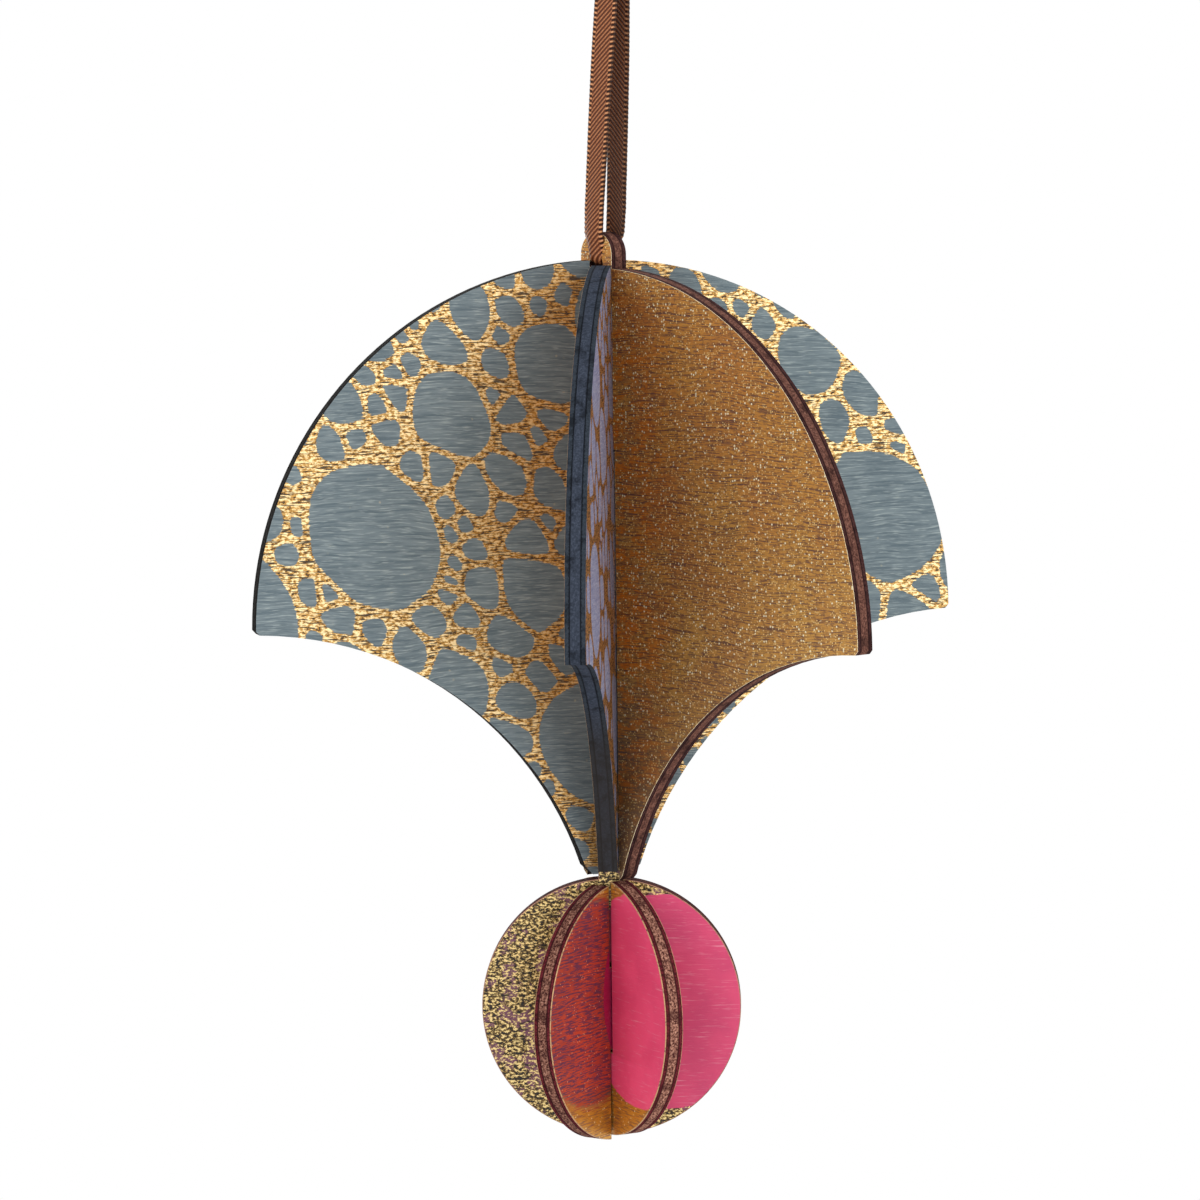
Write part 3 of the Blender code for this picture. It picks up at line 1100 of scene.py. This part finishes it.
@dataclass
class RibbonLoop:
    """One length of satin ribbon, from the knot down through the eyelet and back up.

    Each point of its route has the distance from the eyelet sheet's middle, the height over the hole's
    centre and, as a share, the width that is left of the cupped ribbon.
    """

    eyelet: Vector = field(default_factory=lambda: Vector((-1.5, 0.0, -34.0)) * MM)
    lean: float = 1.5
    drop: float = 34.0
    step: float = 0.12 * MM
    band: BandSweep = field(default_factory=BandSweep)
    turn: float = math.radians(11.0)
    turn_from: float = 5.0
    turn_over: float = 24.0
    first_curl: float = 1.9
    curl_limits: tuple = (0.05, 2.2)
    curl_tries: int = 30
    route: tuple = (
        (0.0, 0.48, 0.58), (0.75, 0.50, 0.58), (1.22, 0.75, 0.58), (1.38, 1.40, 0.60), (1.55, 2.20, 0.78),
        (1.80, 3.40, 0.94), (1.75, 6.0, 0.99), (1.58, 10.0, 1.0), (1.42, 16.0, 1.0), (1.22, 22.0, 1.0),
        (1.00, 27.0, 1.0), (0.88, 30.0, 1.0), (0.74, 32.4, 0.97), (0.58, 34.1, 0.93),
    )

    def line(self) -> list[Vector]:
        """Draws the ribbon's centreline.

        Returns:
            Its points, from the near strand's top to the far strand's.
        """
        out = facing(EYELET_BEARING)
        points = []
        for sign, part in ((1, reversed(self.route)), (-1, self.route[1:])):
            for away, height, _ in part:
                sway = Vector((self.lean * height / self.drop, 0.0, height))
                points.append(self.eyelet + (out * sign * away + sway) * MM)
        return smooth_line(points, self.step)

    def curl(self, height: float) -> float:
        """How far the ribbon is cupped at a height above the hole's centre.

        Args:
            height: in millimetres.

        Returns:
            Half the angle of its curved section.
        """
        share = self.route[0][2]
        for (_, low, first), (_, high, last) in zip(self.route[1:], self.route[2:]):
            if low <= height <= high:
                share = first + (last - first) * (height - low) / (high - low)
        angle = self.first_curl
        least, most = self.curl_limits
        for _ in range(self.curl_tries):
            slope = math.cos(angle) / angle - math.sin(angle) / angle ** 2
            angle -= (math.sin(angle) / angle - share) / slope
            angle = min(max(angle, least), most)
        return angle

    def build(self) -> bpy.types.Object:
        """Sweeps the band along its route, turning it a little to the front as it climbs.

        Returns:
            The ribbon, riding on its body.
        """
        line = self.line()
        flat = along(EYELET_BEARING)
        stations = []
        for i, centre in enumerate(line):
            course = (line[min(i + 1, len(line) - 1)] - line[max(i - 1, 0)]).normalized()
            height = (centre.z - self.eyelet.z) / MM
            climb = min(max((height - self.turn_from) / self.turn_over, 0.0), 1.0)
            across = Matrix.Rotation(self.turn * climb * climb * (3 - 2 * climb), 3, "Z") @ flat
            across = (across - course * across.dot(course)).normalized()
            stations.append((centre, across, course.cross(across), self.curl(height)))
        piece = new_piece("ribbon_band", self.band.mesh("ribbon_band", stations))
        piece.data.materials.append(SatinWeave("ribbon_satin").board())
        enrol(piece, "ribbon", "ribbon_loop", "satin_ribbon")
        LOG.info("ribbon band: %d rings", len(stations))
        self.declare(line)
        return piece

    def declare(self, line: Sequence[Vector]) -> None:
        """Builds the knot that the ribbon hangs from.

        Args:
            line: its centreline.
        """
        length = sum((q - p).length for p, q in zip(line, line[1:]))
        knot = RibbonKnot().build()
        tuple(line[0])


@dataclass
class RibbonKnot:
    """The overhand knot that joins the two strands, with two cut tails."""

    centre: Vector = field(default_factory=lambda: Vector((0.0, 0.0, 2.0)) * MM)
    reach: tuple = (1.30, 0.62, 1.02)
    lobe: float = 2.2
    rise: float = 0.15
    cord_half: tuple = (0.78, 0.50)
    fold: float = 0.07
    weave_half: float = 0.9
    turns: int = 220
    around: int = 20
    tail_length: float = 5.91 * MM
    tail_splay: float = math.radians(24.0)
    tail_sway: float = 0.35
    tail_twist: float = 0.35
    tail_bend: float = 2.6
    tail_curl: tuple = (1.5, 0.16)
    tail_steps: int = 48

    def wrap(self) -> bpy.types.Mesh:
        """The tight wraps: a closed trefoil of folded ribbon.

        Returns:
            Its mesh, with a weave map in millimetres.
        """
        made = bmesh.new()
        made.loops.layers.uv.new("weave")
        line = []
        for i in range(self.turns):
            a = 2 * math.pi * i / self.turns
            line.append(self.centre + Vector((
                self.reach[0] * (math.sin(a) + 2 * math.sin(2 * a)) / self.lobe,
                self.reach[1] * -math.sin(3 * a),
                self.reach[2] * (math.cos(a) - 2 * math.cos(2 * a)) / self.lobe + self.rise,
            )) * MM)
        rings, runs = [], [0.0]
        angles = [2 * math.pi * j / self.around for j in range(self.around)]
        for i, centre in enumerate(line):
            ahead = line[(i + 1) % self.turns]
            course = (ahead - line[i - 1]).normalized()
            side = course.cross(Vector((0.0, 1.0, 0.0))).normalized()
            over = course.cross(side)
            ring = []
            for b in angles:
                fold = 1 + self.fold * math.cos(3 * b + 5 * math.pi * i / self.turns)
                ring.append(made.verts.new(centre + (side * math.cos(b) * self.cord_half[0]
                                                     + over * math.sin(b) * self.cord_half[1]) * fold * MM))
            rings.append(ring)
            runs.append(runs[-1] + (ahead - centre).length / MM)
        skin(made, rings, [[(self.weave_half * math.sin(b), run) for b in angles] for run in runs])
        return close_up(made, "knot_wrap")

    def tail(self, sign: int) -> bpy.types.Mesh:
        """One cut tail, cupped at the knot and flat at its end.

        Args:
            sign: -1 for the left tail and 1 for the right one.

        Returns:
            Its mesh.
        """
        aim = Vector((sign * math.sin(self.tail_splay), 0.0, math.cos(self.tail_splay)))
        cupped, left = self.tail_curl
        stations = []
        for i in range(self.tail_steps + 1):
            share = i / self.tail_steps
            sway = Vector((0.0, sign * self.tail_sway * MM * math.sin(self.tail_bend * share), 0.0))
            centre = self.centre + aim * self.tail_length * share + sway
            across = Vector((aim.z, sign * self.tail_twist * share, -aim.x)).normalized()
            curl = cupped * (1 - share) ** 2 + left
            stations.append((centre, across, aim.cross(across).normalized(), curl))
        return BandSweep().mesh(f"knot_tail_{sign}", stations)

    def build(self) -> bpy.types.Object:
        """Joins the wraps and tails into one piece.

        Returns:
            The knot, riding with the ribbon.
        """
        meshes = (self.wrap(), self.tail(-1), self.tail(1))
        parts = [new_piece(f"knot_part_{i}", mesh) for i, mesh in enumerate(meshes)]
        take_up(parts[0])
        for part in parts[1:]:
            part.select_set(True)
        bpy.ops.object.join()
        piece = parts[0]
        piece.name = "ribbon_knot_tied"
        piece.data.materials.clear()
        piece.data.materials.append(SatinWeave("knot_satin").board())
        enrol(piece, "ribbon", "ribbon_knot", "satin_knot")
        LOG.info("ribbon knot tied")
        return piece


@dataclass
class PlySheet:
    """A sawn and slotted ply sheet, cut from a copy of its solid."""

    node: str
    slot: str
    bearing: float
    level: float
    front: SheetFinish
    back: SheetFinish
    edge: PlyEdge
    rim: WornRim
    rim_ease: float = 0.09 * MM
    rim_segments: int = 2
    ply: float = 2.2 * MM
    printed_lean: float = 0.95
    rim_lean: float = 0.3

    def build(self, frame: dict) -> bpy.types.Object:
        """Cuts the sheet and dresses it.


        Returns:
            The sheet, in place of its node.
        """
        piece = new_piece(f"{self.node}_printed", frame["nodes"][self.node].data.copy())
        self.cut(piece)
        self.dress(piece)
        enrol(piece, "bauble", self.node, self.slot)
        LOG.info("%s: %d faces", piece.name, len(piece.data.polygons))
        return piece

    def cut(self, piece: bpy.types.Object) -> None:
        """Merges the copy's corners and eases its rims.

        Args:
            piece: the copy of the solid.
        """
        take_up(piece)
        bpy.ops.object.mode_set(mode="EDIT")
        bpy.ops.mesh.select_all(action="SELECT")
        bpy.ops.mesh.remove_doubles(threshold=WELD)
        bpy.ops.mesh.dissolve_limited(angle_limit=FLAT_ANGLE)
        self.ease(piece, self.is_rim)

    def ease(self, piece: bpy.types.Object, wanted: Callable[[bmesh.types.BMEdge], bool]) -> None:
        """Rounds off edges and shades the finished sheet.

        Args:
            piece: the sheet, in edit mode.
            wanted: tells which edges.
        """
        self.pick(piece, Part.EDGE, wanted)
        bpy.ops.mesh.bevel(offset=self.rim_ease, segments=self.rim_segments, affect="EDGES",
                           clamp_overlap=True)
        bpy.ops.mesh.select_all(action="DESELECT")
        bpy.ops.object.mode_set(mode="OBJECT")
        bpy.ops.object.shade_smooth_by_angle(angle=SMOOTH_ANGLE)

    @staticmethod
    def pick(piece: bpy.types.Object, part: Part, wanted: Callable) -> None:
        """Selects the edges or faces that a test wants, and nothing else.

        Args:
            piece: the piece, in edit mode.
            part: what is picked.
            wanted: the test.
        """
        bpy.ops.mesh.select_mode(type=part.name)
        bpy.ops.mesh.select_all(action="DESELECT")
        made = bmesh.from_edit_mesh(piece.data)
        for item in getattr(made, part.value):
            item.select = wanted(item)
        made.select_flush_mode()
        bmesh.update_edit_mesh(piece.data)

    def is_rim(self, edge: bmesh.types.BMEdge) -> bool:
        """Tells the edges between a printed face and a sawn one.

        Args:
            edge: the edge.

        Returns:
            Whether it is one of them.
        """
        out = facing(self.bearing)
        flat = [abs(face.normal.dot(out)) > FLAT_LEAN for face in edge.link_faces]
        return len(flat) == 2 and flat[0] != flat[1]

    def dress(self, piece: bpy.types.Object) -> None:
        """Gives each face its print, the sawn edge or the worn rim, by where it faces.

        Args:
            piece: the cut sheet.
        """
        out = facing(self.bearing)
        mesh = piece.data
        mesh.materials.clear()
        for finish in (self.front, self.back, self.edge, self.rim):
            mesh.materials.append(finish.board(self.bearing, self.level))
        for face in mesh.polygons:
            lean = face.normal.dot(out)
            side = Side.EDGE
            if abs(lean) > self.printed_lean:
                side = Side.FRONT if lean > 0 else Side.BACK
            elif abs(lean) > self.rim_lean:
                side = Side.RIM
            face.material_index = side.value


@dataclass
class PebbledSheet(PlySheet):
    """A ply sheet whose back carries a pebble print, with every pebble traced into the printed face."""

    bed: PebbleBed = field(default_factory=lambda: PebbleBed(1))
    foot_level: float = -28.4
    print_angle: float = 0.01
    trace_weld: float = 1e-4

    def cut(self, piece: bpy.types.Object) -> None:
        """Traces the solid's outline, lays the pebbles in it, pulls up the ply and eases the front rim.

        Args:
            piece: the copy of the solid.
        """
        out = facing(self.bearing)
        self.lay_print(piece, self.loops(piece))
        take_up(piece)
        bpy.ops.object.mode_set(mode="EDIT")
        bpy.ops.mesh.select_all(action="SELECT")
        bpy.ops.mesh.extrude_region_move(TRANSFORM_OT_translate={"value": out * self.ply})
        bpy.ops.mesh.select_all(action="SELECT")
        bpy.ops.mesh.normals_make_consistent(inside=False)
        self.pick(piece, Part.FACE, lambda face: face.normal.dot(out) > FLAT_LEAN)
        bpy.ops.mesh.dissolve_limited(angle_limit=self.print_angle)
        self.ease(piece, lambda edge: self.is_rim(edge) and self.depth(edge) > 0)

    def depth(self, edge: bmesh.types.BMEdge) -> float:
        """How far an edge lies to the front of the sheet's middle plane."""
        middle = (edge.verts[0].co + edge.verts[1].co) / 2
        return (middle - Vector((AXIS_ACROSS, 0.0, 0.0))).dot(facing(self.bearing))

    def loops(self, piece: bpy.types.Object) -> list[list[Vector]]:
        """The outline of the solid's back face, down to the foot's level, and of any hole in it.

        Args:
            piece: the copy of the solid.

        Returns:
            Closed lines on the sheet's plane, counter-clockwise, the one with the most corners first.
        """
        made = bmesh.new()
        made.from_mesh(piece.data)
        bmesh.ops.remove_doubles(made, verts=made.verts, dist=WELD)
        bmesh.ops.dissolve_limit(made, angle_limit=FLAT_ANGLE, verts=made.verts, edges=made.edges)
        rims = [e for e in made.edges if self.is_rim(e) and self.depth(e) < 0]
        found = []
        while rims:
            edge = rims.pop(0)
            first, here = edge.verts
            line = [first]
            while here is not first:
                line.append(here)
                edge = next(e for e in here.link_edges if e in rims)
                rims.remove(edge)
                here = edge.other_vert(here)
            flat = [self.flat(v.co) for v in line]
            turn = sum(a.x * b.y - b.x * a.y for a, b in zip(flat, flat[1:] + flat[:1]))
            found.append(flat if turn > 0 else flat[::-1])
        made.free()
        return sorted(found, key=len, reverse=True)

    def flat(self, place: Vector) -> Vector:
        """A place on the sheet's plane, no lower than the foot.

        Args:
            place: a place on the sheet, in metres.

        Returns:
            How far across and how high it is, in millimetres.
        """
        across = (place - Vector((AXIS_ACROSS, 0.0, 0.0))).dot(along(self.bearing))
        spot = Vector((across, place.z - self.level)) / MM
        return Vector((spot.x, max(spot.y, self.foot_level)))

    def lay_print(self, piece: bpy.types.Object, loops: Sequence[Sequence[Vector]]) -> None:
        """Makes the piece a flat back face that keeps the share of leaf at every point.

        The share is 0 on a pebble, 1 in a vein and a half on the line between them.

        Args:
            piece: the piece, whose mesh is emptied first.
            loops: the sheet's outline and holes.
        """
        spots: list[Vector] = []
        shapes: list[list[int]] = []
        for line in [*loops, *self.bed.outlines()]:
            shapes.append(list(range(len(spots), len(spots) + len(line))))
            spots += line
        places, _, faces, _, _, owners = delaunay_2d_cdt(spots, [], shapes, 1, self.trace_weld)
        kept, on_stone, in_vein = [], set(), set()
        for ids, owner in zip(faces, owners):
            if 0 not in owner or any(1 <= k < len(loops) for k in owner):
                continue
            kept.append(ids)
            if any(k >= len(loops) and (k - len(loops)) % 2 for k in owner):
                on_stone.update(ids)
            elif len(owner) == 1:
                in_vein.update(ids)
        back = -facing(self.bearing) * self.ply / 2 + Vector((AXIS_ACROSS, 0.0, self.level))
        made = bmesh.new()
        leaf = made.verts.layers.float.new("leaf")
        verts = {}
        for k in sorted({k for ids in kept for k in ids}):
            spot = along(self.bearing) * places[k].x + Vector((0.0, 0.0, places[k].y))
            verts[k] = made.verts.new(back + spot * MM)
            verts[k][leaf] = 0.0 if k in on_stone else 1.0 if k in in_vein else 0.5
        for ids in kept:
            made.faces.new([verts[k] for k in ids])
        made.to_mesh(piece.data)
        made.free()


@dataclass
class Studio:
    """A pale floor well under the bauble, a white surround and soft lamps."""

    floor_level: float = -0.205
    floor_reach: float = 4.0
    floor_cells: int = 8
    floor_colour: tuple = (0.86, 0.86, 0.85, 1.0)
    fade_from: float = 0.07
    fade_to: float = 0.20
    sky_colour: tuple = (0.96, 0.98, 1.0, 1.0)
    sky_strength: float = 0.55
    lamps: tuple = (
        ("key_lamp", (-0.42, -0.62, 0.22), 0.50, 1.8),
        ("side_lamp", (0.45, -0.60, 0.05), 0.50, 2.1),
        ("top_lamp", (0.05, 0.10, 0.60), 0.60, 1.2),
        ("back_lamp", (-0.20, 0.70, 0.15), 0.60, 1.6),
    )

    def build(self) -> None:
        """Sets the view, the surround, the floor and the lamps."""
        bpy.context.scene.view_settings.view_transform = "Standard"
        self.surround()
        self.floor()
        for name, place, width, watts in self.lamps:
            self.lamp(name, Vector(place), width, watts)
        LOG.info("studio: %d lamps", len(self.lamps))

    def surround(self) -> None:
        """White where it is seen or mirrored, and a softer white as light."""
        world = bpy.data.worlds.new("studio_surround")
        bpy.context.scene.world = world
        made = NodeBoard(world)
        light, white = (made.node("Background", {"Color": colour, "Strength": strength}).outputs[0]
                        for colour, strength in ((self.sky_colour, self.sky_strength), (WHITE, 1.0)))
        made.node("OutputWorld", {"Surface": made.either(made.seen(), light, white)})

    def floor(self) -> None:
        """A pale floor that keeps the bauble's shadow and fades to white further out."""
        bpy.ops.object.select_all(action="DESELECT")
        bpy.ops.mesh.primitive_grid_add(x_subdivisions=self.floor_cells, y_subdivisions=self.floor_cells,
                                        size=2 * self.floor_reach, location=(0.0, 0.0, self.floor_level))
        floor = bpy.context.active_object
        floor.name = "studio_floor"
        made = Paint("studio_floor_paint")
        made.surface(Base_Color=self.floor_colour, Roughness=0.75, Specular_IOR_Level=0.2)
        place = made.node("TexCoord").outputs["Object"]
        reach = made.node("VectorMath", {0: place}, operation="LENGTH").outputs["Value"]
        share = made.times(made.seen(), made.step(reach, self.fade_from, self.fade_to))
        white = made.node("Emission", {"Color": WHITE}).outputs[0]
        made.feed(made.end.inputs["Surface"], made.either(share, made.shader.outputs[0], white))
        floor.data.materials.append(made.owner)

    def lamp(self, name: str, place: Vector, width: float, watts: float) -> None:
        """Hangs one soft lamp that aims at the fan.

        Args:
            name: the lamp's name.
            place: where it hangs.
            width: the width of its square face.
            watts: its power.
        """
        data = bpy.data.lights.new(name, "AREA")
        data.size = width
        data.energy = watts
        lamp = bpy.data.objects.new(name, data)
        lamp.location = place
        aim = Vector((AXIS_ACROSS, 0.0, FAN_LEVEL)) - place
        lamp.rotation_euler = aim.to_track_quat("-Z", "Y").to_euler()
        bpy.context.scene.collection.objects.link(lamp)


def sheets() -> list[PlySheet]:
    """The six sheets with their prints: three for the fan and three for the ball.

    Returns:
        The sheets, ready to build.
    """
    slate_edge = PlyEdge("slate_edge", outer="141311", core="2b2926", pale="4a463f", glue="080707")
    navy_edge = PlyEdge("navy_edge", outer="394049", core="434a58", pale="565d6b", glue="14161b",
                        speckle=0.45, foot="322e2c")
    brown_edge = PlyEdge("brown_edge", outer="4e3230", core="84594c", pale="a57c69", glue="251617",
                         speckle=0.7)
    maroon_edge = PlyEdge("maroon_edge", outer="702a31", core="a57260", pale="dcb29a", glue="321518")
    copper_edge = PlyEdge("copper_edge", outer="702a31", core="bd8570", pale="eec0a6", glue="3d1a1c")
    tab_edge = PlyEdge("tab_edge", outer="56222a", core="75463f", pale="8f5f55", glue="2a1113")
    rose = dict(stain="e24875", stain_deep="d33f6e", streak="f3adbf", radius=12.2, lift=0.55)
    # A brighter copy of the rose print for the third disc: painted light that stands in for the light the
    # discs reflect onto it.
    lit_rose = dict(stain="f6527c", stain_deep="e94872", streak="f9a9b8", radius=11.9, lift=1.7)
    ember = dict(stain="be4c2b", stain_deep="a4422d", streak="4e3048", streak_share=0.9, metal=0.2, soft=0.7,
                 radius=11.8, lift=1.3)
    small_stones = ((5.6, 4.4, 14), (3.0, 2.0, 70), (1.6, 1.1, 150), (0.9, 0.6, 150))
    worn = WornRim("worn_rim")
    tab_rim = WornRim("tab_rim", rubbed="a8785c", print_left="6d3a3c")
    gilt_rim = WornRim("gilt_rim", rubbed="ffedc4", print_left="c79a5c")
    return [
        PebbledSheet("fan_pebble_sheet", "slate_print_ply", math.radians(196.0), FAN_LEVEL,
                     BronzePrint("slate_sheet_foil"), PebblePrint("slate_pebbles"), slate_edge, gilt_rim,
                     bed=PebbleBed(7)),
        PebbledSheet("fan_front_sheet", "lavender_print_ply", math.radians(265.1), FAN_LEVEL,
                     BronzePrint("lavender_sheet_foil"),
                     PebblePrint("lavender_pebbles", stain="8c90aa", dark="74789a", pale="b2b4c6",
                                 leaf="8f5c30", bright="b98a52"),
                     navy_edge, worn,
                     bed=PebbleBed(19, sizes=small_stones), foot_level=-27.3),
        PebbledSheet("fan_eyelet_sheet", "bronze_print_ply", EYELET_BEARING, FAN_LEVEL,
                     BronzePrint("bronze_foil"), PebblePrint("bronze_sheet_pebbles"), brown_edge, gilt_rim,
                     rim_ease=0.22 * MM, bed=PebbleBed(31)),
        PlySheet("ball_tab_disc", "gold_rose_print_ply", math.radians(178.0), BALL_LEVEL,
                 CirclePrint("gold_ember_face", Ground.GLITTER, centre=5.0, **ember),
                 CirclePrint("gold_rose_face", Ground.GLITTER, centre=-6.0, **rose), tab_edge, tab_rim),
        PlySheet("ball_second_disc", "ember_print_ply", math.radians(238.0), BALL_LEVEL,
                 CirclePrint("second_rose_face", Ground.GLITTER, centre=-5.0, **rose),
                 # The rose sliver by the axis, darkened to paint the shade there.
                 CirclePrint("second_ember_face", Ground.OCHRE, centre=5.6, beside="a8124e",
                             beside_centre=-8.3, **ember),
                 maroon_edge, worn),
        PlySheet("ball_third_disc", "rose_print_ply", math.radians(298.0), BALL_LEVEL,
                 CirclePrint("third_rose_face", Ground.OCHRE, centre=7.8, **lit_rose),
                 CirclePrint("third_ember_face", Ground.GLITTER, centre=-5.0, **ember), copper_edge, worn),
    ]


def main() -> None:
    """Loads the frame and builds every piece in order."""
    logging.basicConfig(level=logging.INFO, format="%(name)s: %(message)s")
    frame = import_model()
    PhotoCamera().build()
    RibbonLoop().build()
    for sheet in sheets():
        sheet.build(frame)
    Studio().build()


if __name__ == "__main__":
    main()
